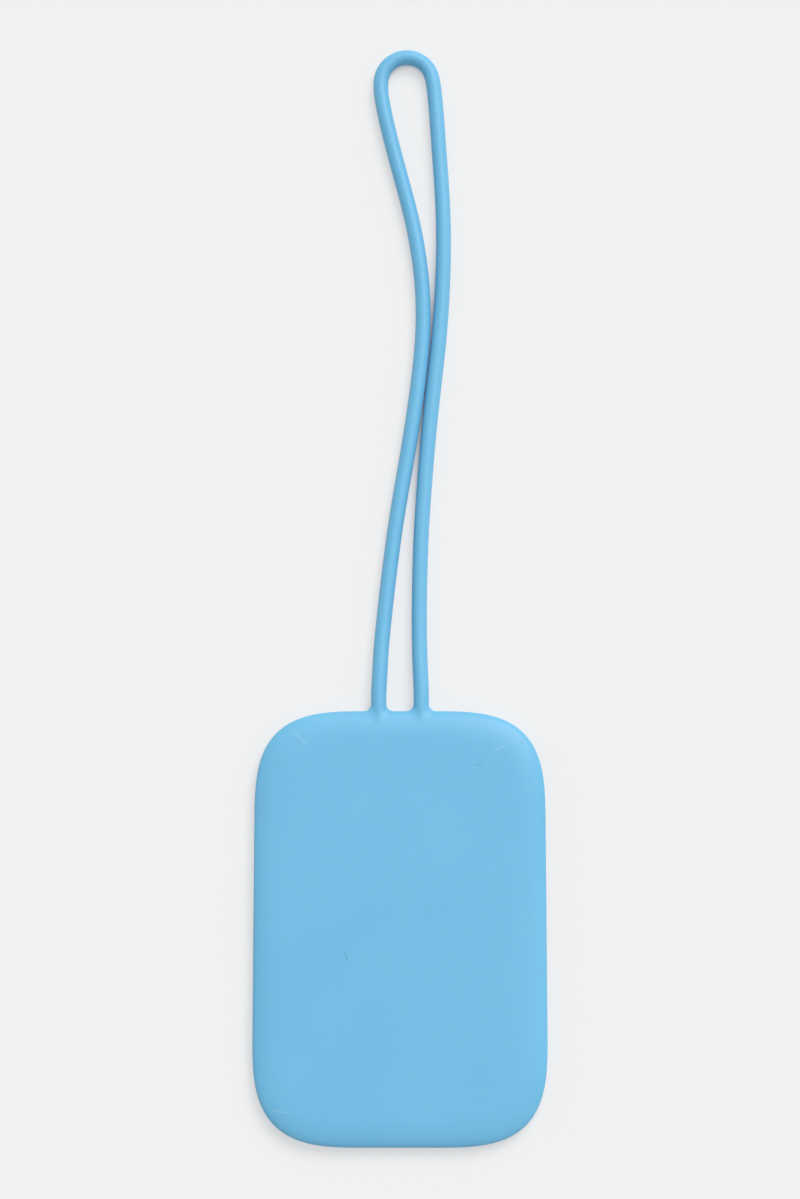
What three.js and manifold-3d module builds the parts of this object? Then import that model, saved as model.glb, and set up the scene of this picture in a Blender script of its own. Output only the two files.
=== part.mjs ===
// A silicone luggage tag that lies flat: a sleeve with a pocket, an address card behind a
// clear cover that slide out of its right-hand side, and a loop of round cord at its top edge.
// Millimetres. X is the tag's width, Y its length (the loop is towards +Y) and Z its
// thickness: the plain front faces +Z, and the back, with the window, lies on Z = 0.
// The origin is the middle of the sleeve's back.

import * as THREE from 'three';
import { mergeVertices } from 'three/addons/utils/BufferGeometryUtils.js';
import Module from 'manifold-3d';

// ---- Driving dimensions, in millimetres ----

const cardWidth = 54; // an ordinary bank-card size
const cardLength = 85.6;
const cardCornerRadius = 3.2;
const cardThickness = 0.4;
const coverThickness = 0.3;

const sideBorder = 8; // from the card's long edges to the sleeve's outside
const endBorder = 8.95; // from the card's short edges to the sleeve's outside
const cornerReach = 27.2; // how far each rounded corner runs along both sides
const cornerPower = 3.25; // 2 would be an ellipse's quarter, more is squarer

const frontWall = 2.2;
const backWall = 1.2;
const layerGap = 0.3; // between the stacked wall, cover, card and wall
const pocketSideGap = 0.5; // between the card's edges and the pocket's walls
const frontRim = { width: 6, height: 2.2 }; // the front curves down in a quarter ellipse
const backRim = { width: 1, height: 1 };

const windowLip = 4; // how much of the card's edge the back frame covers
const windowCornerRadius = 4;
const notchRadius = 9; // thumb notch in the back frame, at the pocket's mouth

const cordDiameter = 3.7;
const rootSpacing = 10.3; // between the axes of the loop's two ends
const rootAxisHeight = 2.6;
const rootBaseRadius = 2.4;
const rootLength = 3.2;
const seatGap = 0.3; // between a root and what it meets at each end

// The loop's free route from the left root's tip to the right one's: X, Y beyond the
// sleeve's top edge, and the height of the cord's underside above the surface.
const loopRoute = [
  [-5.15, 3.8, 0.75],
  [-4.93, 8.6, 0.64],
  [-4.62, 14.6, 0.33],
  [-4.1, 20.5, 0.12],
  [-3.15, 29.5, 0.05],
  [-2.1, 38.3, 0.05],
  [-0.41, 50.3, 0.05],
  [1.6, 62.3, 0.05],
  [3.5, 74.5, 0.05],
  [5.03, 86.7, 0.05],
  [5.7, 95.9, 0.05],
  [5.72, 102.0, 0.05],
  [5.05, 111.3, 0.05],
  [2.97, 123.7, 0.05],
  [-0.16, 136.2, 0.05],
  [-3.27, 148.8, 0.05],
  [-4.52, 155.2, 0.05],
  [-4.83, 159.3, 0.05],
  [-3.97, 162.85, 0.05],
  [-1.55, 165.35, 0.05],
  [1.8, 166.28, 0.05],
  [5.15, 165.25, 0.05],
  [7.42, 162.7, 0.05],
  [8.4, 159.2, 0.05],
  [8.86, 155.1, 0.05],
  [9.75, 142.5, 0.05],
  [10.57, 129.9, 0.05],
  [10.86, 117.5, 0.05],
  [10.53, 105.1, 0.05],
  [9.65, 92.8, 0.05],
  [8.33, 80.6, 0.05],
  [7.05, 68.4, 0.05],
  [6.03, 56.3, 0.05],
  [5.23, 44.3, 0.05],
  [4.81, 32.4, 0.05],
  [4.7, 20.5, 0.12],
  [4.78, 14.6, 0.33],
  [5.0, 8.6, 0.64],
  [5.15, 3.8, 0.75],
];

// How finely the round shapes are cut into flats.
const cordSides = 8;
const cordSteps = 80;
const cornerSteps = 14; // along each corner of the sleeve's outline
const rimSteps = 6; // across a curved rim
const arcSteps = 7; // along each corner of a card, window or pocket
const turnSteps = 48; // round the thumb notch
const rootSides = 24;
const flareSteps = 8;

// ---- Sizes that follow ----

const sleeveWidth = cardWidth + 2 * sideBorder;
const sleeveLength = cardLength + 2 * endBorder;
const coverBottom = backWall + layerGap;
const cardBottom = coverBottom + coverThickness + layerGap;
const pocketTop = cardBottom + cardThickness + layerGap;
const sleeveThickness = pocketTop + frontWall;
const topEdge = sleeveLength / 2;
const cordRadius = cordDiameter / 2;

// ---- Materials ----

const silicone = new THREE.MeshStandardMaterial({ color: 0x78c0e5, roughness: 0.6 });
const clearPlastic = new THREE.MeshStandardMaterial({
  color: 0xe4ecf0, roughness: 0.15, transparent: true, opacity: 0.35,
});
const cardStock = new THREE.MeshStandardMaterial({ color: 0xf3f1ea, roughness: 0.9 });

// ---- Solids that are joined and cut ----

const solids = await Module();
solids.setup();

function solidOf(geometry) {
  const bare = geometry.clone();
  bare.deleteAttribute('normal');
  bare.deleteAttribute('uv');
  const merged = mergeVertices(bare);
  const vertProperties = new Float32Array(merged.getAttribute('position').array);
  const triVerts = new Uint32Array(merged.index.array);
  return new solids.Manifold(new solids.Mesh({ numProp: 3, vertProperties, triVerts }));
}

function geometryOf(solid) {
  const { vertProperties, triVerts } = solid.getMesh();
  const geometry = new THREE.BufferGeometry();
  geometry.setAttribute('position', new THREE.BufferAttribute(vertProperties, 3));
  geometry.setIndex(new THREE.BufferAttribute(triVerts, 1));
  geometry.computeVertexNormals();
  return geometry;
}

// ---- Outlines ----

// A rectangle whose corners are quarters of a superellipse, |x|^p + |y|^p = reach^p.
function squircleShape(width, length, reach, power) {
  const points = [];
  for (let corner = 0; corner < 4; corner += 1) {
    for (let step = 0; step <= cornerSteps; step += 1) {
      const angle = ((corner + step / cornerSteps) * Math.PI) / 2;
      const cos = Math.cos(angle);
      const sin = Math.sin(angle);
      const radius = reach / (Math.abs(cos) ** power + Math.abs(sin) ** power) ** (1 / power);
      const signX = corner === 0 || corner === 3 ? 1 : -1;
      const signY = corner < 2 ? 1 : -1;
      points.push(new THREE.Vector2(
        signX * (width / 2 - reach) + radius * cos,
        signY * (length / 2 - reach) + radius * sin,
      ));
    }
  }
  return new THREE.Shape(points);
}

// A rectangle between two corners, with round corners of one radius.
function roundedRectangle(left, bottom, right, top, radius) {
  const shape = new THREE.Shape();
  shape.absarc(right - radius, top - radius, radius, 0, Math.PI / 2);
  shape.absarc(left + radius, top - radius, radius, Math.PI / 2, Math.PI);
  shape.absarc(left + radius, bottom + radius, radius, Math.PI, 1.5 * Math.PI);
  shape.absarc(right - radius, bottom + radius, radius, 1.5 * Math.PI, 2 * Math.PI);
  return shape;
}

// ---- Flat solids ----

function plate(shape, bottom, top) {
  const geometry = new THREE.ExtrudeGeometry(shape, {
    depth: top - bottom, bevelEnabled: false, curveSegments: arcSteps,
  });
  return geometry.translate(0, 0, bottom);
}

// The sleeve's whole outside with both its edges curved to one rim, kept between two heights.
function sleeveSlice(rim, bottom, top) {
  const outline = squircleShape(sleeveWidth, sleeveLength, cornerReach, cornerPower);
  const blank = new THREE.ExtrudeGeometry(outline, {
    depth: sleeveThickness - 2 * rim.height,
    bevelThickness: rim.height,
    bevelSize: rim.width,
    bevelOffset: -rim.width,
    bevelSegments: rimSteps,
  }).translate(0, 0, rim.height);
  const keep = new THREE.BoxGeometry(2 * sleeveWidth, 2 * sleeveLength, top - bottom);
  keep.translate(0, 0, (top + bottom) / 2);
  return solidOf(blank).intersect(solidOf(keep));
}

// The pocket is as wide as the card and its gaps, and runs out through the right-hand side.
function pocketSpace() {
  const left = -cardWidth / 2 - pocketSideGap;
  const end = cardLength / 2 + pocketSideGap;
  const radius = cardCornerRadius + pocketSideGap;
  const shape = roundedRectangle(left, -end, sleeveWidth, end, radius);
  return solidOf(plate(shape, backWall - layerGap, pocketTop));
}

function frontShell() {
  const outside = sleeveSlice(frontRim, backWall, sleeveThickness);
  return new THREE.Mesh(geometryOf(outside.subtract(pocketSpace())), silicone);
}

function windowSpace() {
  const halfWidth = cardWidth / 2 - windowLip;
  const halfLength = cardLength / 2 - windowLip;
  const shape = roundedRectangle(
    -halfWidth, -halfLength, halfWidth, halfLength, windowCornerRadius,
  );
  return solidOf(plate(shape, -layerGap, backWall + layerGap));
}

function thumbNotchSpace() {
  const height = backWall + 2 * layerGap;
  const round = new THREE.CylinderGeometry(notchRadius, notchRadius, height, turnSteps);
  round.rotateX(Math.PI / 2);
  round.translate(sleeveWidth / 2, 0, backWall / 2);
  return solidOf(round);
}

function backFrame() {
  const outside = sleeveSlice(backRim, 0, backWall);
  const frame = outside.subtract(windowSpace()).subtract(thumbNotchSpace());
  return new THREE.Mesh(geometryOf(frame), silicone);
}

function cardSizedSheet(bottom, thickness, material) {
  const shape = roundedRectangle(
    -cardWidth / 2, -cardLength / 2, cardWidth / 2, cardLength / 2, cardCornerRadius,
  );
  return new THREE.Mesh(plate(shape, bottom, bottom + thickness), material);
}

// ---- The loop ----

// A root flares from the cord's radius to its base in a quarter of an ellipse.
function cordRoot(side) {
  const profile = [new THREE.Vector2(0, 0)];
  for (let step = 0; step <= flareSteps; step += 1) {
    const angle = (step / flareSteps) * (Math.PI / 2);
    profile.push(new THREE.Vector2(
      rootBaseRadius - (rootBaseRadius - cordRadius) * Math.sin(angle),
      rootLength * (1 - Math.cos(angle)),
    ));
  }
  profile.push(new THREE.Vector2(0, rootLength));
  const mesh = new THREE.Mesh(new THREE.LatheGeometry(profile, rootSides), silicone);
  mesh.position.set((side * rootSpacing) / 2, seatGap, rootAxisHeight);
  return mesh;
}

function loopCord() {
  const route = new THREE.CatmullRomCurve3(
    loopRoute.map(([x, y, underside]) => new THREE.Vector3(x, y, underside + cordRadius)),
  );
  const section = new THREE.Shape();
  for (let side = 0; side < cordSides; side += 1) {
    const angle = ((side + 0.5) / cordSides) * 2 * Math.PI;
    const x = cordRadius * Math.cos(angle);
    const y = cordRadius * Math.sin(angle);
    if (side === 0) section.moveTo(x, y);
    else section.lineTo(x, y);
  }
  section.closePath();
  const tube = new THREE.ExtrudeGeometry(section, {
    steps: cordSteps, bevelEnabled: false, extrudePath: route,
  });
  return new THREE.Mesh(tube, silicone);
}

// ---- Assembly ----

function named(name, mesh) {
  mesh.name = name;
  return mesh;
}

const loop = new THREE.Group();
loop.position.y = topEdge;
loop.add(
  named('cord_root_left', cordRoot(-1)),
  named('cord_root_right', cordRoot(1)),
  named('loop_cord', loopCord()),
);

const luggageTag = new THREE.Group();
luggageTag.add(
  named('front_shell', frontShell()),
  named('back_frame', backFrame()),
  named('window_cover', cardSizedSheet(coverBottom, coverThickness, clearPlastic)),
  named('address_card', cardSizedSheet(cardBottom, cardThickness, cardStock)),
  loop,
);

export default luggageTag;
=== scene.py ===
# %% [markdown]
# # A silicone luggage tag
# The tag is one soft moulding: a flat sleeve with rounded corners, and a long loop of round cord
# that grows out of its top edge. The back has a window and a slot in the side, from which an
# address card slides out behind its clear cover.
#
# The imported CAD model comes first. It fixes where everything is and what moves, and each new
# surface below stands for one of its nodes. All the shapes are worked out in millimetres, which
# read well for something this small, and are turned into metres when their mesh is made.

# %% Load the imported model
import math
import bpy
import numpy as np
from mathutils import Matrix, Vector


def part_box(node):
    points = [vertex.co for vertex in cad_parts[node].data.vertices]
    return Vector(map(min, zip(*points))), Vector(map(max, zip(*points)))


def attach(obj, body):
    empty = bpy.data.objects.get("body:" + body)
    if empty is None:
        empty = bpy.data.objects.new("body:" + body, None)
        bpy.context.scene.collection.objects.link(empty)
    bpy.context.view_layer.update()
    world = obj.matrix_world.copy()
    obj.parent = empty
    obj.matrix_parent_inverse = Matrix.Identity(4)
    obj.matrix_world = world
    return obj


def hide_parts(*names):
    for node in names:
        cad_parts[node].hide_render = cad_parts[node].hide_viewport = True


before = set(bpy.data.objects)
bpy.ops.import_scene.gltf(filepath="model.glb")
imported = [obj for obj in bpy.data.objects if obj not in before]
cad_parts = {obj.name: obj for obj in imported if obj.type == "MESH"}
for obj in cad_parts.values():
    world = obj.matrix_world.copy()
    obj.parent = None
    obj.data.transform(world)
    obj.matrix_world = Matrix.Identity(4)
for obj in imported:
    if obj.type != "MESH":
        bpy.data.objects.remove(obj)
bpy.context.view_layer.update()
MM = 1000.0  # millimetres in a metre


# %% Read the sizes of the CAD nodes
def box_mm(node):
    """The lowest and the highest corner of a CAD node, in millimetres."""
    return [np.array(corner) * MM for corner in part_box(node)]


shell_low, shell_high = box_mm("front_shell")
cover_low, cover_high = box_mm("window_cover")
card_low, card_high = box_mm("address_card")
half_width, half_length, face_height = shell_high
seam_height = shell_low[2]  # the front shell stands on the back frame here
print("sleeve", 2 * half_width, "x", 2 * half_length, "x", face_height, "mm")

# %% [markdown]
# ## The camera
# A long lens straight above the tag keeps its sides parallel. The camera stands a little towards
# the bottom of the tag and tips back by a few degrees, so that the lower edge shows slightly more
# than the upper one. It comes before everything else, because the loop's lie is judged in it.

# %% Make the camera
camera_data = bpy.data.cameras.new("camera")
camera_data.lens = 79.85
camera_data.sensor_width = 36.0
camera = bpy.data.objects.new("camera", camera_data)
camera.location = (0.0, -0.02776, 0.64168)
camera.rotation_euler = (math.radians(9.5), 0.0, 0.0)
bpy.context.scene.collection.objects.link(camera)
bpy.context.scene.camera = camera
bpy.context.scene.view_settings.view_transform = "Standard"
print("camera at", tuple(camera.location))

# %% [markdown]
# ## From a grid of points to a mesh
# Every surface here is a function of two parameters. Its values fill a grid of points, and four
# neighbours in the grid are one face. Where a surface closes on itself, several points of the
# grid fall on one place: along a seam, at a pole, or where a wall runs out. One helper makes
# such points a single vertex, turns the faces that lose a corner into triangles, and drops those
# that lose more, so all the pieces are closed.


# %% Turn a grid of points into a closed mesh
def mesh_from_grid(name, grid, sharp_degrees=40):
    """A mesh whose faces are the cells (i, j), (i+1, j), (i+1, j+1), (i, j+1) of a grid of points.

    Points that agree to a ten-thousandth of a millimetre become one. The volume inside is the
    sum of a . (b x c) / 6 over the triangles, and where it is below 0 the faces turn round.
    """
    rows, columns = grid.shape[:2]
    keys = np.round(grid.reshape(-1, 3) * 1e4).astype(np.int64)
    _, first, same = np.unique(keys, axis=0, return_index=True, return_inverse=True)
    index = same.reshape(rows, columns)
    corners = [index[:-1, :-1], index[1:, :-1], index[1:, 1:], index[:-1, 1:]]
    cells = np.stack(corners, axis=-1).reshape(-1, 4)
    kept = cells != np.roll(cells, -1, axis=1)
    quads = cells[kept.sum(axis=1) == 4]
    three = kept.sum(axis=1) == 3
    triangles = cells[three][kept[three]].reshape(-1, 3)
    points = grid.reshape(-1, 3)[first]
    halves = np.concatenate([triangles, quads[:, :3], quads[:, [0, 2, 3]]])
    a, b, c = (points[halves[:, corner]] for corner in range(3))
    volume = np.einsum("ij,ij->i", a, np.cross(b, c)).sum() / 6
    if volume < 0:
        quads, triangles = quads[:, ::-1], triangles[:, ::-1]
    mesh = bpy.data.meshes.new(name)
    mesh.from_pydata((points / MM).tolist(), [], quads.tolist() + triangles.tolist())
    mesh.polygons.foreach_set("use_smooth", np.ones(len(mesh.polygons), bool))
    mesh.set_sharp_from_angle(angle=math.radians(sharp_degrees))
    mesh.validate()
    piece = bpy.data.objects.new(name, mesh)
    bpy.context.scene.collection.objects.link(piece)
    print(f"{name}: {len(halves)} triangles, {abs(volume) / 1000:.3f} cubic centimetres")
    return piece


# %% [markdown]
# ## The loop
# The loop is one round cord of soft silicone, 3.7 mm thick, which leaves the sleeve's top edge,
# runs up, turns at the top and comes back beside itself. It lies on the table over its whole
# length. A curve object with a bevel could draw it, but a tube on a grid keeps the mould's
# parting line exactly at its sides. The line through the points is a cubic spline with
# continuous curvature, because a rubber cord has no sudden change of bend.


# %% Lay one smooth line through the loop's points
def spline_through(points, spacing):
    """Points an equal spacing apart on the natural cubic spline through the given points.

    Between two of them the second derivative runs linearly, and one set of linear equations
    makes the first derivative continuous. The parameter is the length of the chords.
    """
    knots = np.append(0, np.cumsum(np.linalg.norm(np.diff(points, axis=0), axis=1)))
    gap = np.diff(knots)
    inner = np.arange(1, len(points) - 1)
    system = np.eye(len(points))
    system[inner, inner - 1] = gap[:-1]
    system[inner, inner] = 2 * (gap[:-1] + gap[1:])
    system[inner, inner + 1] = gap[1:]
    slopes = np.diff(points, axis=0) / gap[:, None]
    right = np.zeros_like(points)
    right[1:-1] = 6 * np.diff(slopes, axis=0)
    second = np.linalg.solve(system, right)
    at = np.linspace(0, knots[-1], 20 * int(knots[-1] / spacing))
    k = np.clip(np.searchsorted(knots, at, side="right") - 1, 0, len(gap) - 1)
    g = gap[k][:, None]
    b = (at - knots[k])[:, None] / g
    a = 1 - b
    curve = a * points[k] + b * points[k + 1]
    curve = curve + ((a**3 - a) * second[k] + (b**3 - b) * second[k + 1]) * g**2 / 6
    run = np.append(0, np.cumsum(np.linalg.norm(np.diff(curve, axis=0), axis=1)))
    even = np.linspace(0, run[-1], int(run[-1] / spacing) + 1)
    return np.stack([np.interp(even, run, curve[:, axis]) for axis in range(3)], axis=1), run[-1]


cord_radius = 1.85
# X, Y beyond the sleeve's top edge, and the height of the cord's underside. The first and last
# points lie inside the roots, which cover the cord's ends.
loop_route = np.array([
    [-5.15, 2.1, 0.75], [-5.15, 3.8, 0.75], [-4.93, 8.6, 0.64], [-4.62, 14.6, 0.33],
    [-4.1, 20.5, 0.12], [-3.15, 29.5, 0.05], [-2.1, 38.3, 0.05], [-0.41, 50.3, 0.05],
    [1.6, 62.3, 0.05], [3.5, 74.5, 0.05], [5.03, 86.7, 0.05], [5.7, 95.9, 0.05],
    [5.72, 102.0, 0.05], [5.05, 111.3, 0.05], [2.97, 123.7, 0.05], [-0.16, 136.2, 0.05],
    [-3.27, 148.8, 0.05], [-4.52, 155.2, 0.05], [-4.83, 159.3, 0.05], [-3.97, 162.85, 0.05],
    [-1.55, 165.35, 0.05], [1.8, 166.28, 0.05], [5.15, 165.25, 0.05], [7.42, 162.7, 0.05],
    [8.4, 159.2, 0.05], [8.86, 155.1, 0.05], [9.75, 142.5, 0.05], [10.57, 129.9, 0.05],
    [10.86, 117.5, 0.05], [10.53, 105.1, 0.05], [9.65, 92.8, 0.05], [8.33, 80.6, 0.05],
    [7.05, 68.4, 0.05], [6.03, 56.3, 0.05], [5.23, 44.3, 0.05], [4.81, 32.4, 0.05],
    [4.7, 20.5, 0.12], [4.78, 14.6, 0.33], [5.0, 8.6, 0.64], [5.15, 3.8, 0.75],
    [5.15, 2.1, 0.75],
])
loop_points = loop_route + np.array([0, half_length, cord_radius])
loop_line, loop_length = spline_through(loop_points, spacing=0.5)
print(f"loop: {loop_length:.1f} mm of cord")


# %% Carry the cord's section along the line
def cord_tube(name, line, radius, sides=48, ridge=0.02, ridge_width=0.12):
    """A round section carried along a line: P = C(s) + r(a) (cos a . side + sin a . up).

    side is level and square to the line, and up is square to both. The radius grows by a hair
    at the two sides, where the halves of the mould meet. The two end rows close on a point.
    """
    along = np.gradient(line, axis=0)
    along /= np.linalg.norm(along, axis=1, keepdims=True)
    side = np.cross(along, [0, 0, 1])
    side /= np.linalg.norm(side, axis=1, keepdims=True)
    up = np.cross(side, along)
    angle = np.linspace(0, 2 * np.pi, sides + 1)
    r = radius + ridge * np.exp(-((np.sin(angle) / ridge_width) ** 2))
    ring = (r * np.cos(angle))[:, None] * side[:, None] + (r * np.sin(angle))[:, None] * up[:, None]
    grid = line[:, None] + ring
    grid[:, -1] = grid[:, 0]
    ends = [np.broadcast_to(line[at], (1, sides + 1, 3)) for at in (0, -1)]
    return mesh_from_grid(name, np.concatenate([ends[0], grid, ends[1]]))


loop_cord = cord_tube("silicone_loop", loop_line, cord_radius)

# %% [markdown]
# ## The sleeve's outline
# The corners aren't quarters of a circle: they start so gently that no point shows where the
# straight side ends. A superellipse with a power above 2 does that. The outline is worked out
# once, at very close points, and after that anything asks it for the point and the inward
# direction at some angle round the middle.

# %% Work out the outline
corner_reach, corner_power = 27.2, 3.25
quarter = np.linspace(0, np.pi / 2, 1500)
corner_radius = corner_reach / (np.cos(quarter) ** corner_power
                                + np.sin(quarter) ** corner_power) ** (1 / corner_power)
corner_x = half_width - corner_reach + corner_radius * np.cos(quarter)
corner_y = half_length - corner_reach + corner_radius * np.sin(quarter)
round_x = np.concatenate([corner_x, -corner_x[::-1], -corner_x, corner_x[::-1], corner_x[:1]])
round_y = np.concatenate([corner_y, corner_y[::-1], -corner_y, -corner_y[::-1], corner_y[:1]])
walked = np.append(0, np.cumsum(np.hypot(np.diff(round_x), np.diff(round_y))))
arc = np.linspace(0, walked[-1], 16000)
outline = np.stack([np.interp(arc, walked, round_x), np.interp(arc, walked, round_y)], axis=1)[:-1]
ahead = np.roll(outline, -1, axis=0) - np.roll(outline, 1, axis=0)
ahead /= np.linalg.norm(ahead, axis=1, keepdims=True)
inward = np.stack([-ahead[:, 1], ahead[:, 0]], axis=1)
outline_angle = np.arctan2(outline[:, 1], outline[:, 0])


def on_outline(angle):
    """The outline's point and its inward unit normal at an angle round the middle, looked up."""
    columns = np.concatenate([outline, inward], axis=1).T
    x, y, nx, ny = (np.interp(angle, outline_angle, c, period=2 * np.pi) for c in columns)
    return np.stack([x, y], axis=-1), np.stack([nx, ny], axis=-1)


print(f"outline: {walked[-1]:.1f} mm round")

# %% [markdown]
# ## The front of the sleeve
# The front is a plain face that curves down all round like a pillow's edge. Underneath it is
# hollow: the pocket is as wide as the card, closed on three sides by a wall that stands on the
# back frame, and open on the right. One grid covers all of it. Each column is a place on the
# outline, and walks from the middle of the face over the rim, down the side, in under the wall,
# up the pocket's wall and back to the middle of the pocket's ceiling. At the pocket's mouth the
# wall shrinks to nothing, and the rim ends in a small rounded lip instead.
#
# A boolean cut would be quicker to write, but it leaves long thin faces that shade badly next to
# a soft rim.

# %% Measure the rim and the pocket
rim_width, rim_height, rim_power = 8.0, 2.2, 2.3
rim_foot = face_height - rim_height
pocket_gap = 0.5
pocket_half_width = card_high[0] + pocket_gap
pocket_half_length = card_high[1] + pocket_gap
pocket_corner = 3.7
card_play = 0.3  # between the card and the pocket's ceiling
pocket_ceiling = card_high[2] + card_play
lip_radius = 0.35
parting_groove = 0.08  # how far the edges of the two halves round off where they meet


def rim_profile(turn):
    """Inset and height on the rim, inset = w (1 - sin^(2/q)), height = h cos^(2/q), 0 on top."""
    across = np.sin(turn) ** (2 / rim_power)
    return rim_width * (1 - across), rim_height * np.cos(turn).clip(0) ** (2 / rim_power)


def arc_on_ray(direction, middle, radius):
    """Where rays t d leave circles about c, the larger root of |t d - c| = r, and if they do."""
    along = (direction * middle).sum(-1)
    squared = (direction**2).sum(-1)
    root = along**2 - squared * ((middle**2).sum(-1) - radius**2)
    return (along + np.sqrt(root.clip(0))) / squared, root > 0


def pocket_wall(direction):
    """Where rays from the middle meet the pocket's boundary, a rectangle with round left corners.

    A ray meets a straight side where one coordinate is reached, or else a corner's arc. The
    right-hand side is open.
    """
    x, y = direction[..., 0], direction[..., 1]
    safe_x, safe_y = np.maximum(np.abs(x), 1e-9), np.maximum(np.abs(y), 1e-9)
    reach = pocket_half_length / safe_y
    reach = np.where(x < 0, np.minimum(reach, pocket_half_width / safe_x), reach)
    middle = np.stack([np.full_like(x, pocket_corner - pocket_half_width),
                       np.sign(y) * (pocket_half_length - pocket_corner)], axis=-1)
    on_arc, meets = arc_on_ray(direction, middle, pocket_corner)
    hit = direction * on_arc[..., None]
    in_corner = (hit[..., 0] < middle[..., 0]) & (np.abs(hit[..., 1]) > np.abs(middle[..., 1]))
    return direction * np.where(in_corner & meets, on_arc, reach)[..., None]


# %% Find the two round ends of the pocket's wall
# The wall ends at the mouth in a round nose that touches the pocket's straight wall on one side
# and the outline on the other. Its middle is nose_radius from both, so it lies where a line that
# runs nose_radius inside the outline is as far up as the nose.
nose_radius = 0.55
touch_x, touch_y = 0.45, 0.25  # about where the nose touches the outline, from its middle
nose_y = pocket_half_length + nose_radius
by_the_nose = (outline[:, 0] > 0) & (outline[:, 1] > pocket_half_length - 4)
inner_line = outline[by_the_nose] + nose_radius * inward[by_the_nose]
nose_x = np.interp(-nose_y, -inner_line[::-1, 1], inner_line[::-1, 0])
nose_middle = np.array([nose_x, nose_y])
_, nose_inward = on_outline(np.arctan2(nose_y + touch_y, nose_x + touch_x))
outer_turn = np.arctan2(-nose_inward[1], -nose_inward[0])
tip_turn = (outer_turn - np.pi / 2) / 2
print("nose of the pocket's wall at", nose_middle, "its tip turned", math.degrees(tip_turn))


# %% Choose the columns of the front's grid
root_places = (loop_line[-1, 0], loop_line[0, 0])


def columns_between(start, end, coarse=1.0, fine=0.3, near=root_places, reach=4.5):
    """Angles along part of the outline, closer together near the loop's roots.

    The number of columns per millimetre is 1/coarse, plus 1/fine under a smooth hump round each
    root, and a column stands wherever its running sum passes a whole number.
    """
    angle = np.linspace(start, end, 20000)
    place, _ = on_outline(angle)
    step = np.append(0, np.hypot(*np.diff(place, axis=0).T))
    density = np.full_like(angle, 1 / coarse)
    for root_x in near:
        away = np.hypot(place[:, 0] - root_x, place[:, 1] - half_length)
        density += (1 / fine - 1 / coarse) * np.exp(-((away / reach) ** 4))
    total = np.cumsum(step * density)
    return np.interp(np.linspace(0, total[-1], int(total[-1]) + 1), total, angle)


def nose_arc(end_turn):
    """The nose from its tip to one side: M + r (cos t, sin t), t from tip_turn to end_turn."""
    turn = tip_turn + (end_turn - tip_turn) * np.linspace(0, 1, 8)
    return nose_middle + nose_radius * np.stack([np.cos(turn), np.sin(turn)], axis=-1)


outer_nose, inner_nose = nose_arc(outer_turn), nose_arc(-np.pi / 2)
nose_angle = np.arctan2(outer_nose[:, 1], outer_nose[:, 0])
margin = 0.004  # radians between the nose's columns and their neighbours
wall_angle = columns_between(nose_angle[-1] + margin, 2 * np.pi - nose_angle[-1] - margin)
mouth_angle = columns_between(-nose_angle[0] + margin, nose_angle[0] - margin)
mirror_y = np.array([1, -1])  # the lower nose is the upper one's mirror image
column_angle = np.concatenate([
    nose_angle, wall_angle, 2 * np.pi - nose_angle[::-1],
    2 * np.pi - nose_angle[:1], 2 * np.pi + mouth_angle, 2 * np.pi + nose_angle[:1],
])
edge, edge_inward = on_outline(column_angle)
wall_place, wall_inward = on_outline(wall_angle)
mouth_place, mouth_inward = on_outline(mouth_angle)
nose_out = -(outer_nose - nose_middle) / nose_radius
print(f"front: {len(column_angle)} columns, {len(mouth_angle)} of them at the mouth")

# %% Carry the front's section round the outline
# The lip's radius grows from nothing at the nose's outer side to its full size at the mouth.
nose_edge, _ = on_outline(nose_angle)
nose_lip = np.minimum(lip_radius, 0.7 * np.linalg.norm(nose_edge - outer_nose, axis=1))
lip = np.concatenate([
    nose_lip, np.zeros(len(wall_angle)), nose_lip[::-1],
    np.full(len(mouth_angle) + 2, nose_lip[0]),
])
lip_turn = np.arccos((lip / rim_height) ** (rim_power / 2))
lip_inset, _ = rim_profile(lip_turn)
mouth_lip = mouth_place + mouth_inward * (lip_inset[-2] + lip[-2])[..., None]
wall_outer = np.concatenate([
    outer_nose, wall_place, (outer_nose * mirror_y)[::-1],
    outer_nose[:1] * mirror_y, mouth_lip, outer_nose[:1],
])
wall_inner = np.concatenate([
    inner_nose, pocket_wall(wall_place), (inner_nose * mirror_y)[::-1],
    inner_nose[:1] * mirror_y, mouth_lip, inner_nose[:1],
])
wall_normal = np.concatenate([
    nose_out, wall_inward, (nose_out * mirror_y)[::-1],
    nose_out[:1], mouth_inward, nose_out[:1],
])
has_wall = np.zeros(len(column_angle))
has_wall[: len(wall_angle) + 2 * len(nose_angle)] = 1
wall_height = (pocket_ceiling - seam_height) * has_wall
groove = parting_groove * has_wall


def level(plan, height):
    """Rows of points from rows of plan positions and their heights."""
    height = np.broadcast_to(height, plan.shape[:-1])
    return np.concatenate([plan, height[..., None]], axis=-1)


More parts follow.
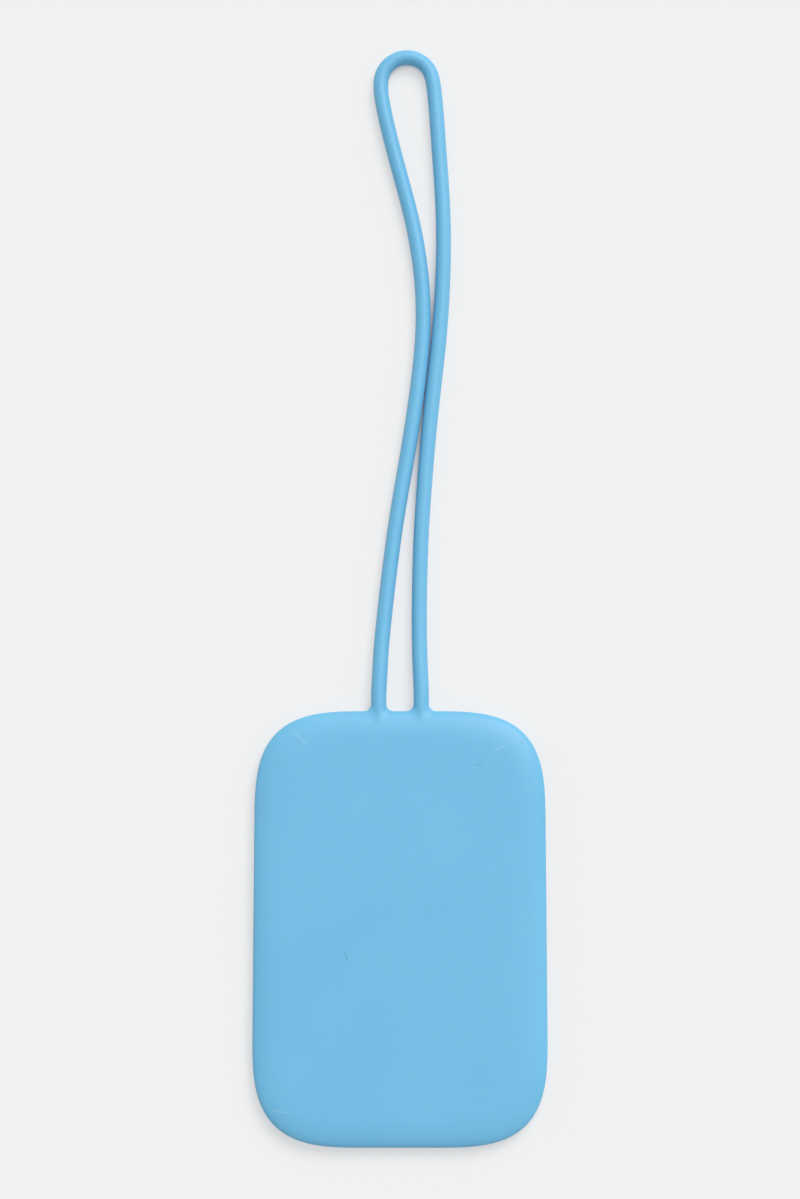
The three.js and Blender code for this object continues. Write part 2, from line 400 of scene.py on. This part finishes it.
def front_rows():
    """The rows of the front's grid, from the middle of the face to the middle of the ceiling."""
    inner_edge = edge + rim_width * edge_inward
    yield level(inner_edge * np.linspace(0, 1, 13)[:-1, None, None], face_height)
    turn = np.linspace(0, 1, 25)[:, None] * lip_turn
    inset, height = rim_profile(turn)
    yield level(edge + inset[..., None] * edge_inward, rim_foot + height)
    turn = np.linspace(0, np.pi / 2, 7)[1:, None]
    inset = lip_inset + lip * (1 - np.cos(turn))
    yield level(edge + inset[..., None] * edge_inward, rim_foot + lip * (1 - np.sin(turn)))
    yield level(wall_outer[None], pocket_ceiling)
    turn = np.linspace(0, np.pi / 2, 4)[:, None]
    inset = groove * (1 - np.cos(turn))
    height = pocket_ceiling - wall_height + groove * (1 - np.sin(turn))
    yield level(wall_outer + inset[..., None] * wall_normal, height)
    yield level(wall_inner[None], pocket_ceiling - wall_height)
    yield level(wall_inner[None], pocket_ceiling)
    yield level(wall_inner * np.linspace(1, 0, 9)[1:, None, None], pocket_ceiling)


front_grid = np.concatenate(list(front_rows()))
front_grid = np.concatenate([front_grid, front_grid[:, :1]], axis=1)  # ends where it began
sleeve_front = mesh_from_grid("sleeve_front", front_grid)

# %% [markdown]
# ## The back frame
# The back is a thin frame of the same silicone round a window, with a thumb notch in the side
# where the card comes out. Its section is closed, so the grid is a ring: one parameter goes round
# the frame and the other round its section. The outside edge follows the same outline as the
# front and turns under with a radius of 1 mm, and the notch's corners are rounded as a moulder
# would round them.

# %% Work out the frame's outer edge with its notch
notch_radius, notch_corner = 9.0, 1.2
notch_middle = np.array([half_width, 0.0])
corner_y_at = math.sqrt((notch_radius + notch_corner) ** 2 - notch_corner**2)
corner_middle = np.array([half_width - notch_corner, corner_y_at])
bite_turn = math.atan2(corner_y_at, -notch_corner)  # seen from the notch's middle
corner_turn = np.linspace(0, bite_turn - np.pi, 10)  # the small arc, from the edge into the notch
small_arc = corner_middle + notch_corner * np.stack(
    [np.cos(corner_turn), np.sin(corner_turn)], axis=-1)
bite = np.linspace(bite_turn, 2 * np.pi - bite_turn, 61)[1:-1]
bite_arc = notch_middle + notch_radius * np.stack([np.cos(bite), np.sin(bite)], axis=-1)
start_angle = math.atan2(corner_y_at, half_width)
frame_angle = columns_between(start_angle, 2 * np.pi - start_angle, near=())
frame_place, frame_inward = on_outline(frame_angle)
frame_edge = np.concatenate([
    frame_place[:-1], small_arc * mirror_y, bite_arc[::-1], small_arc[::-1][:-1],
    frame_place[:1]])
small_inward = (corner_middle - small_arc) / notch_corner
bite_inward = (bite_arc - notch_middle) / notch_radius
frame_normal = np.concatenate([
    frame_inward[:-1], small_inward * mirror_y, bite_inward[::-1], small_inward[::-1][:-1],
    frame_inward[:1]])
print(f"back frame: {len(frame_edge)} columns, notch corners at y = {corner_y_at:.2f} mm")

# %% Pair it with the window's edge and carry the section round
window_lip, window_corner = 4.0, 4.0
window_half = card_high[:2] - window_lip


def window_edge(direction):
    """The window's boundary and its outward normal on rays from the middle.

    It is a rectangle with round corners: a ray meets a side where the first coordinate is
    reached, and a corner's arc as in the pocket.
    """
    size = np.abs(direction).clip(1e-9)
    reach = (window_half / size).min(axis=-1)
    middle = np.sign(direction) * (window_half - window_corner)
    on_arc, meets = arc_on_ray(direction, middle, window_corner)
    hit = np.abs(direction * on_arc[..., None])
    in_corner = (hit > np.abs(middle)).all(axis=-1) & meets
    place = direction * np.where(in_corner, on_arc, reach)[..., None]
    side = np.where((window_half / size).argmin(axis=-1)[..., None] == [0, 1],
                    np.sign(direction), 0)
    outward = np.where(in_corner[..., None], (place - middle) / window_corner, side)
    return place, outward


window_place, window_outward = window_edge(frame_edge)
window_round, pocket_round = 0.35, 0.15
# Underneath, the edge's radius shrinks from foot_radius towards the notch, over fade_length.
foot_radius, notch_foot, fade_length = 1.0, 0.5, 4.0
fade = np.clip((np.abs(frame_edge[:, 1]) - notch_radius) / fade_length, 0, 1)
fade = np.where(frame_edge[:, 0] > 0, fade * fade * (3 - 2 * fade), 1.0)
rim_radius = notch_foot + (foot_radius - notch_foot) * fade


def frame_rows():
    """The frame's section, from its outer edge's top over the pocket's floor and back beneath."""
    turn = np.linspace(np.pi / 2, 0, 4)[:, None]
    inset = parting_groove * (1 - np.sin(turn))
    height = seam_height - parting_groove * (1 - np.cos(turn))
    yield level(frame_edge + inset[..., None] * frame_normal, height)
    turn = np.linspace(0, np.pi / 2, 4)[:, None]
    inset = pocket_round * (1 - np.sin(turn))
    height = seam_height - pocket_round * (1 - np.cos(turn))
    yield level(window_place + inset[..., None] * window_outward, height)
    turn = np.linspace(0, np.pi / 2, 7)[:, None]
    inset = window_round * (1 - np.cos(turn))
    yield level(window_place + inset[..., None] * window_outward,
                window_round * (1 - np.sin(turn)))
    turn = np.linspace(np.pi / 2, 0, 9)[:, None]
    inset = rim_radius * (1 - np.cos(turn))
    yield level(frame_edge + inset[..., None] * frame_normal, rim_radius * (1 - np.sin(turn)))


frame_grid = np.concatenate(list(frame_rows()))
frame_grid = np.concatenate([frame_grid, frame_grid[:1]])
sleeve_back = mesh_from_grid("sleeve_back_frame", frame_grid)

# %% [markdown]
# ## The roots
# Where the cord meets the sleeve the silicone swells into a fillet, and on top the cord's crest
# runs on into the face between two soft creases. Such a blend has a simple description as
# distances: take the distance to the sleeve and the distance to the cord, and where they are
# nearly equal, take a little less than both. The surface is where that blended distance is zero.
# Rays from a point inside the root find it, over a grid of directions like a globe's.

# %% Measure the distance to the sleeve's edge
section_depth = 14.0  # how far in from the edge the section goes
profile_inset, profile_height = rim_profile(np.linspace(0, np.pi / 2, 260))
foot_turns = np.linspace(0, np.pi / 2, 60)
profile = np.concatenate([
    [[section_depth, face_height]],
    np.stack([profile_inset, rim_foot + profile_height], axis=1),
    foot_radius - foot_radius * np.stack([np.cos(foot_turns), np.sin(foot_turns)], axis=1),
    [[section_depth, 0.0]],
])
walked_profile = np.append(0, np.cumsum(np.linalg.norm(np.diff(profile, axis=0), axis=1)))
fine_steps = np.linspace(0, walked_profile[-1], 420)
fine_profile = np.stack([np.interp(fine_steps, walked_profile, profile[:, axis])
                         for axis in range(2)], axis=1)
profile_run = np.gradient(fine_profile, axis=0)
profile_run /= np.linalg.norm(profile_run, axis=1, keepdims=True)


def sleeve_distance(points):
    """Signed distance to the top edge's section, below 0 inside, and how far it faces up there.

    The nearest of many points on the section and the tangent there give both: the part of the
    way to that point that is square to the tangent is the distance.
    """
    inset, height = half_length - points[:, 1], points[:, 2]
    apart = (inset[:, None] - fine_profile[:, 0]) ** 2 + (height[:, None] - fine_profile[:, 1]) ** 2
    nearest = apart.argmin(axis=1)
    way = np.stack([inset, height], axis=1) - fine_profile[nearest]
    run = profile_run[nearest]
    square = np.abs(way[:, 0] * run[:, 1] - way[:, 1] * run[:, 0])
    across = (1 - inset / rim_width).clip(0, 1) ** rim_power
    top = rim_foot + rim_height * (1 - across) ** (1 / rim_power)
    bottom = foot_radius - np.sqrt(
        foot_radius**2 - (foot_radius - inset.clip(0, foot_radius)) ** 2)
    inside = (inset > 0) & (height < top) & (height > bottom)
    return np.where(inside, -1, 1) * square, -run[:, 0]


# %% Blend each root out of the sleeve and the cord
wide_blend, narrow_blend = 2.1, 0.35  # how near the two distances are where the fillet begins
root_sink = 0.012  # the root hides just under both surfaces where it doesn't blend them
root_centre_inset = 3.0
root_inside, root_side, root_tip = 5.0, 5.6, 4.4  # where it ends, in the sleeve and in the cord
root_fade, fade_depth = 1.6, 0.3  # over how much it sinks deeper at its hidden ends, and how far


def root_distance(points, root_x):
    """Distance to sleeve and cord with a soft join: min(a, b) - h^2 k / 4, h = (1 - |a - b| / k).

    k is wide where the two surfaces stand square to each other and narrow where they face the
    same way, or the crest would swell. Flat cuts inside the sleeve and inside the cord end the
    piece where nobody sees it, and before the cuts in the sleeve it sinks deeper.
    """
    from_axis = np.hypot(points[:, 0] - root_x, points[:, 2] - root_height).clip(1e-6)
    to_cord = from_axis - cord_radius
    to_sleeve, facing_up = sleeve_distance(points)
    alike = (facing_up * (points[:, 2] - root_height) / from_axis).clip(0, 1)
    k = wide_blend + (narrow_blend - wide_blend) * alike
    soft = (1 - np.abs(to_cord - to_sleeve) / k).clip(0)
    beyond = points[:, 1] - half_length
    cuts = [-beyond - root_inside, np.abs(points[:, 0] - root_x) - root_side, beyond - root_tip]
    hidden = (np.maximum(cuts[0], cuts[1]) / root_fade + 1).clip(0)
    blended = np.minimum(to_cord, to_sleeve) - soft**2 * k / 4 + root_sink + fade_depth * hidden**2
    return np.maximum(blended, np.max(cuts, axis=0))


longest_ray = 12.0


def loop_root(name, root_x):
    """A star-shaped surface, P = C + t d(u, v): 26 halvings of t find where the distance is 0."""
    centre = np.array([root_x, half_length - root_centre_inset, root_height - 0.1])
    # Most rows look at the fillet and the cord, and few at the end inside the sleeve.
    tilt = np.concatenate([np.linspace(0, 0.6, 90)[:-1], np.linspace(0.6, 1, 24)]) * np.pi
    turn = np.linspace(0, 2 * np.pi, 97)
    tilt, turn = np.meshgrid(tilt, turn, indexing="ij")
    ray = np.stack([np.sin(tilt) * np.cos(turn), np.cos(tilt), np.sin(tilt) * np.sin(turn)], -1)
    rays = ray.reshape(-1, 3)
    near, far = np.zeros(len(rays)), np.full(len(rays), longest_ray)
    for _ in range(26):
        middle = (near + far) / 2
        outside = root_distance(centre + middle[:, None] * rays, root_x) > 0
        near, far = np.where(outside, near, middle), np.where(outside, middle, far)
    grid = (centre + near[:, None] * rays).reshape(ray.shape)
    grid[:, -1] = grid[:, 0]
    grid[0], grid[-1] = grid[0, 0], grid[-1, 0]
    return mesh_from_grid(name, grid, sharp_degrees=50)


root_height = loop_line[0, 2]
root_left = loop_root("loop_root_left", loop_line[0, 0])
root_right = loop_root("loop_root_right", loop_line[-1, 0])

# %% [markdown]
# ## The card and its cover
# Both are sheets with rounded corners, well under half a millimetre thick. A plain box would show
# razor edges where they slide out, so the edges are rounded too. The same grid serves both: from
# the middle of the top over the edge to the middle of the bottom.


# %% Make a thin sheet with rounded edges
def rounded_sheet(name, low, high, corner, edge):
    """Rows grow from the middle to the edge's inner line, round the edge, and shrink again.

    Corner: x = a - c + c cos t, y = b - c + c sin t, whose inward normal is (-cos t, -sin t).
    """
    steps = 13  # along each corner
    reach = np.repeat([[1, 1], [-1, 1], [-1, -1], [1, -1]], steps, axis=0)
    turn = (np.linspace(0, np.pi / 2, steps) + np.arange(4)[:, None] * np.pi / 2).ravel()
    normal = -np.stack([np.cos(turn), np.sin(turn)], axis=1)
    border = reach * (high[:2] - corner) - corner * normal
    border, normal = np.append(border, border[:1], 0), np.append(normal, normal[:1], 0)
    inner = border + edge * normal
    spread = np.linspace(0, 1, 9)[:, None, None]
    roll = np.linspace(np.pi / 2, -np.pi / 2, 9)[:, None]
    middle = np.where(roll > 0, high[2] - edge, low[2] + edge)
    rows = [
        level(inner * spread, high[2]),
        level(border + edge * (1 - np.cos(roll))[..., None] * normal,
              middle + edge * np.sin(roll)),
        level(inner * spread[::-1], low[2]),
    ]
    return mesh_from_grid(name, np.concatenate(rows))


sheet_corner = 3.2
cover_sheet = rounded_sheet("clear_cover_sheet", cover_low, cover_high, sheet_corner, 0.12)
card_sheet = rounded_sheet("ruled_card", card_low, card_high, sheet_corner, 0.15)

# %% [markdown]
# ## Shader maths in plain Python
# A finish is a small network of nodes. Written node by node, a formula is hard to read, so one
# small class stands for a socket and turns +, - and * into Math nodes. Everything else comes from
# one method that takes a node's type, its settings and the values of its sockets.


# %% Wrap sockets and finishes
class Wire:
    """An output socket that can be used in an expression."""

    def __init__(self, finish, socket):
        self.finish, self.socket = finish, socket

    def __add__(self, other):
        return self.finish.maths("ADD", self, other)

    def __sub__(self, other):
        return self.finish.maths("SUBTRACT", self, other)

    def __rsub__(self, other):
        return self.finish.maths("SUBTRACT", other, self)

    def __mul__(self, other):
        return self.finish.maths("MULTIPLY", self, other)

    __radd__, __rmul__ = __add__, __mul__


class Finish:
    """A material whose nodes are made by one method."""

    def __init__(self, name):
        self.material = bpy.data.materials.new(name)
        self.material.use_nodes = True
        self.tree = self.material.node_tree
        self.tree.nodes.clear()

    def node(self, kind, settings=None, values=None, output=0):
        """A new node: its settings first, then its sockets' values or links; gives one output."""
        node = self.tree.nodes.new(kind)
        for key, value in (settings or {}).items():
            setattr(node, key, value)
        for key, value in (values or {}).items():
            if isinstance(value, Wire):
                self.tree.links.new(value.socket, node.inputs[key])
            else:
                node.inputs[key].default_value = value
        return Wire(self, node.outputs[output]) if node.outputs else None

    def maths(self, operation, *values, clamp=False):
        """A Math node on numbers and sockets."""
        settings = {"operation": operation, "use_clamp": clamp}
        return self.node("ShaderNodeMath", settings, dict(enumerate(values)))

    def vector(self, operation, *values, output=0):
        """A Vector Math node."""
        return self.node("ShaderNodeVectorMath", {"operation": operation},
                         dict(enumerate(values)), output)

    def mix(self, factor, first, second):
        """A Mix node on colours."""
        return self.node("ShaderNodeMix", {"data_type": "RGBA"},
                         {0: factor, 6: first, 7: second}, 2)

    def step(self, value, low, high):
        """0 below low, 1 above high, and smooth between."""
        return self.node("ShaderNodeMapRange", {"interpolation_type": "SMOOTHSTEP"},
                         {"Value": value, "From Min": low, "From Max": high})

    def place(self):
        """Object coordinates, which for these pieces are metres in the tag's own frame."""
        return self.node("ShaderNodeTexCoord", output=3)

    def noise(self, place, size_mm, detail=2.0, roughness=0.5):
        """Noise whose largest features are about size_mm across."""
        return self.node("ShaderNodeTexNoise", None, {
            "Vector": place, "Scale": MM / size_mm, "Detail": detail, "Roughness": roughness})

    def bump(self, height, depth_mm):
        """Raises the surface by depth_mm where height is 1."""
        return self.node("ShaderNodeBump", None, {
            "Height": height, "Distance": depth_mm / MM, "Strength": 1.0})

    def surface(self, **sockets):
        """The Principled shader into the output, its sockets by name with spaces as _."""
        values = {key.replace("_", " "): value for key, value in sockets.items()}
        shader = self.node("ShaderNodeBsdfPrincipled", None, values)
        self.node("ShaderNodeOutputMaterial", None, {"Surface": shader})
        print("finish:", self.material.name, len(self.tree.nodes), "nodes")
        return self.material

# %% [markdown]
# ## Silicone
# Silicone rubber is soft to light as well as to the hand: a little light goes in and comes out
# nearby, which rounds off the shadows, and the surface has the fine satin grain of the blasted
# mould. The colour is almost even. What breaks it is very faint: clouds in the pigment, specks
# of dust that the rubber holds on to, and a few short scuffs on the face.

# %% Paint the silicone
silicone = Finish("sky_blue_silicone")
place = silicone.place()
clouds = silicone.noise(place, 22, detail=3)
grain = silicone.noise(place, 0.45, detail=2)
blast = silicone.noise(place, 0.16, detail=1)
pigment = silicone.mix(silicone.step(clouds, 0.3, 0.7),
                       (0.154, 0.485, 0.742, 1), (0.162, 0.499, 0.757, 1))
roughness = 0.40 + 0.10 * grain
relief = silicone.bump(0.6 * grain + 0.4 * blast, 0.006)

# %% Add dust and a few faint scuffs
# Each row is a short stroke on the face: its two ends and its width in millimetres.
pale_strokes = (
    (-25.9, 46.4, -24.4, 45.4, 0.22), (-24.4, 45.4, -22.5, 43.3, 0.20),
    (22.6, 41.8, 25.4, 43.4, 0.20), (-29.8, -43.2, -26.3, -43.6, 0.20),
    (1.0, -7.5, 1.1, -7.4, 0.22), (-33.6, -17.4, -33.5, -17.3, 0.22),
)
dark_strokes = (
    (-13.4, -6.2, -12.9, -6.6, 0.24), (-12.9, -6.6, -12.6, -8.2, 0.17),
    (-27.2, 33.4, -27.1, 33.3, 0.20), (29.4, 44.0, 29.5, 43.9, 0.20),
    (-32.5, -30.2, -32.4, -30.1, 0.22), (31.9, -31.4, 32.0, -31.3, 0.22),
    (18.2, 38.7, 19.7, 38.0, 0.13), (-29.8, 39.3, -28.8, 39.2, 0.13),
)


def stroke(finish, place, x1, y1, x2, y2, width):
    """1 on a short line: a - b clamp(a . b / b . b) is the way to it, for a and b from one end."""
    start = (x1 / MM, y1 / MM, 0.0)
    run = ((x2 - x1) / MM, (y2 - y1) / MM, 0.0)
    from_start = finish.vector("SUBTRACT", place, start)
    dot = finish.vector("DOT_PRODUCT", from_start, run, output=1)
    share = finish.maths("MULTIPLY", dot, 1 / (run[0] ** 2 + run[1] ** 2), clamp=True)
    nearest = finish.vector("MULTIPLY", finish.node("ShaderNodeCombineXYZ", None, {
        0: share, 1: share, 2: share}), run)
    away = finish.vector("LENGTH", finish.vector("SUBTRACT", from_start, nearest), output=1)
    return 1 - finish.step(away, 0.2 * width / MM, 0.7 * width / MM)


def strokes(finish, place, rows):
    """The largest of several strokes."""
    covered = stroke(finish, place, *rows[0])
    for row in rows[1:]:
        covered = finish.maths("MAXIMUM", covered, stroke(finish, place, *row))
    return covered


height = silicone.node("ShaderNodeSeparateXYZ", None, {"Vector": place}, 2)
on_face = silicone.step(height, 0.0040, 0.0044)
flat_place = silicone.vector("MULTIPLY", place, (1.0, 1.0, 0.0))
dust_cells = silicone.node("ShaderNodeTexVoronoi", None, {"Vector": place, "Scale": MM / 4})
dust = 1 - silicone.step(dust_cells, 0.012, 0.035)
pale = silicone.maths("MAXIMUM", on_face * strokes(silicone, flat_place, pale_strokes), 0.6 * dust)
dark = on_face * strokes(silicone, flat_place, dark_strokes)
pigment = silicone.mix(0.40 * pale, pigment, (0.52, 0.70, 0.82, 1))
pigment = silicone.mix(0.55 * dark, pigment, (0.035, 0.12, 0.20, 1))
silicone_material = silicone.surface(
    Base_Color=pigment, Roughness=roughness, IOR=1.45, Normal=relief,
    Subsurface_Weight=0.15, Subsurface_Radius=(0.2, 0.6, 1.0), Subsurface_Scale=0.001)

# %% [markdown]
# ## Clear cover and card
# The cover is clear plastic. As a thin sheet it needs no bending of light, only a weak tint and
# a gloss, so the Principled shader's alpha makes it see-through: that survives an export, while
# true glass often doesn't. The card is uncoated stock with ruled lines on the side that faces
# the window.

# %% Paint the cover and the card
cover = Finish("clear_plastic")
place = cover.place()
ripple = cover.noise(place, 30, detail=1)
scratches = cover.noise(cover.vector("MULTIPLY", place, (1.0, 14.0, 1.0)), 1.5, detail=3)
cover_material = cover.surface(
    Base_Color=(0.86, 0.90, 0.93, 1), Alpha=0.24, IOR=1.5,
    Roughness=0.05 + 0.10 * cover.step(scratches, 0.55, 0.75),
    Normal=cover.bump(ripple, 0.08))

card = Finish("uncoated_card")
place = card.place()
x, y, z = (card.node("ShaderNodeSeparateXYZ", None, {"Vector": place}, axis) for axis in range(3))
fibre = card.noise(place, 0.5, detail=4, roughness=0.6)
flecks = card.noise(card.vector("MULTIPLY", place, (1.0, 0.25, 1.0)), 0.7, detail=2)
line_pitch, line_width = 9.0, 0.35
line_reach, line_end = 19.0, 31.5  # how far the ruled lines go across and along the card
nearest_line = card.maths("SNAP", x + line_pitch / 2 / MM, line_pitch / MM)
across_line = card.maths("ABSOLUTE", x - nearest_line)
ruled = ((1 - card.step(across_line, 0.4 * line_width / MM, 0.6 * line_width / MM))
         * (1 - card.step(card.maths("ABSOLUTE", x), line_reach / MM, (line_reach + 0.1) / MM))
         * (1 - card.step(card.maths("ABSOLUTE", y), line_end / MM, (line_end + 0.1) / MM))
         * (1 - card.step(z, (card_low[2] + 0.05) / MM, (card_low[2] + 0.1) / MM)))
stock = card.mix(card.step(flecks, 0.35, 0.75), (0.84, 0.825, 0.78, 1), (0.82, 0.80, 0.755, 1))
card_material = card.surface(
    Base_Color=card.mix(0.75 * ruled, stock, (0.20, 0.24, 0.29, 1)),
    Roughness=0.82 + 0.1 * fibre, Normal=card.bump(fibre, 0.010), IOR=1.35)

# %% [markdown]
# ## Table, lamp and surroundings
# The table is plain and pale. The camera sees mostly its own even grey, and a part of the real
# light on it, so that a soft shadow stays round the tag. One large soft lamp shines from the top
# right, and the pale surroundings fill the shadows. A sun with a wide angle does for the lamp: it
# is as soft as a softbox, and the table stays equally bright all over.

# %% Lay the table
backdrop = 0.878  # the pale grey of the table and of the room behind it
table_half = 6.0
table_mesh = bpy.data.meshes.new("table")
table_mesh.from_pydata(
    [(x, y, -0.00005) for x, y in ((-table_half, -table_half), (table_half, -table_half),
                                   (table_half, table_half), (-table_half, table_half))],
    [], [(0, 1, 2, 3)])
table = bpy.data.objects.new("table", table_mesh)
bpy.context.scene.collection.objects.link(table)


def seen_directly(finish):
    """1 for rays from the camera, and for those that a gloss or a clear sheet sends on."""
    camera_ray, glossy, through = (finish.node("ShaderNodeLightPath", output=kind) for kind in (
        "Is Camera Ray", "Is Glossy Ray", "Is Transmission Ray"))
    return finish.maths("MAXIMUM", finish.maths("MAXIMUM", camera_ray, glossy), through)


even_share, table_colour = 0.62, 0.875
paper = Finish("pale_table")
lit = paper.node("ShaderNodeBsdfDiffuse", None, {"Color": (table_colour,) * 3 + (1,)})
even = paper.node("ShaderNodeEmission", None, {"Color": (backdrop,) * 3 + (1,)})
# In a deep gap, such as the one between the loop's two legs, only the real light counts.
open_sky = paper.node("ShaderNodeAmbientOcclusion", {"samples": 8}, {"Distance": 0.004}, 1)
table_shader = paper.node("ShaderNodeMixShader", None, {
    0: even_share * paper.step(open_sky, 0.12, 0.5) * seen_directly(paper), 1: lit, 2: even})
paper.node("ShaderNodeOutputMaterial", None, {"Surface": table_shader})
table_mesh.materials.append(paper.material)

# %% Light it
room_light = 0.46
world = bpy.data.worlds.new("pale_room")
bpy.context.scene.world = world
world.use_nodes = True


class Room(Finish):
    """The world's nodes, made by the same methods as a material's."""

    def __init__(self, world):
        self.tree = world.node_tree
        self.tree.nodes.clear()


room = Room(world)
fill = room.node("ShaderNodeBackground", None, {"Color": (1, 1, 1, 1), "Strength": room_light})
seen = room.node("ShaderNodeBackground", None, {"Color": (1, 1, 1, 1), "Strength": backdrop})
room_shader = room.node("ShaderNodeMixShader", None, {0: seen_directly(room), 1: fill, 2: seen})
room.node("ShaderNodeOutputWorld", None, {"Surface": room_shader})

lamp_azimuth, lamp_elevation = math.radians(60), math.radians(50)
lamp_light = 0.555  # what a level white surface returns of it, beside the room's light
lamp_data = bpy.data.lights.new("soft_lamp", "SUN")
lamp_data.angle = math.radians(40)
lamp_data.energy = lamp_light * math.pi / math.sin(lamp_elevation)
lamp = bpy.data.objects.new("soft_lamp", lamp_data)
lamp.rotation_euler = (math.pi / 2 - lamp_elevation, 0.0, lamp_azimuth + math.pi / 2)
bpy.context.scene.collection.objects.link(lamp)
print("lamp of strength", round(lamp_data.energy, 2))

# %% [markdown]
# ## Join the looks to the model
# Each piece rides on the body that carries its CAD node, and that node is hidden in its place.
# The material slot each piece is listed with picks its finish from those painted above.

# %% Paint, ride and replace
finish_of = {"silicone": silicone_material, "clear_cover": cover_material,
             "card_stock": card_material}
for piece, node, body, slot in (
    (loop_cord, "loop_cord", "sleeve", "silicone"),
    (root_left, "cord_root_left", "sleeve", "silicone"),
    (root_right, "cord_root_right", "sleeve", "silicone"),
    (sleeve_front, "front_shell", "sleeve", "silicone"),
    (sleeve_back, "back_frame", "sleeve", "silicone"),
    (cover_sheet, "window_cover", "cover", "clear_cover"),
    (card_sheet, "address_card", "card", "card_stock"),
):
    piece.data.materials.append(finish_of[slot])
    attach(piece, body)
    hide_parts(node)
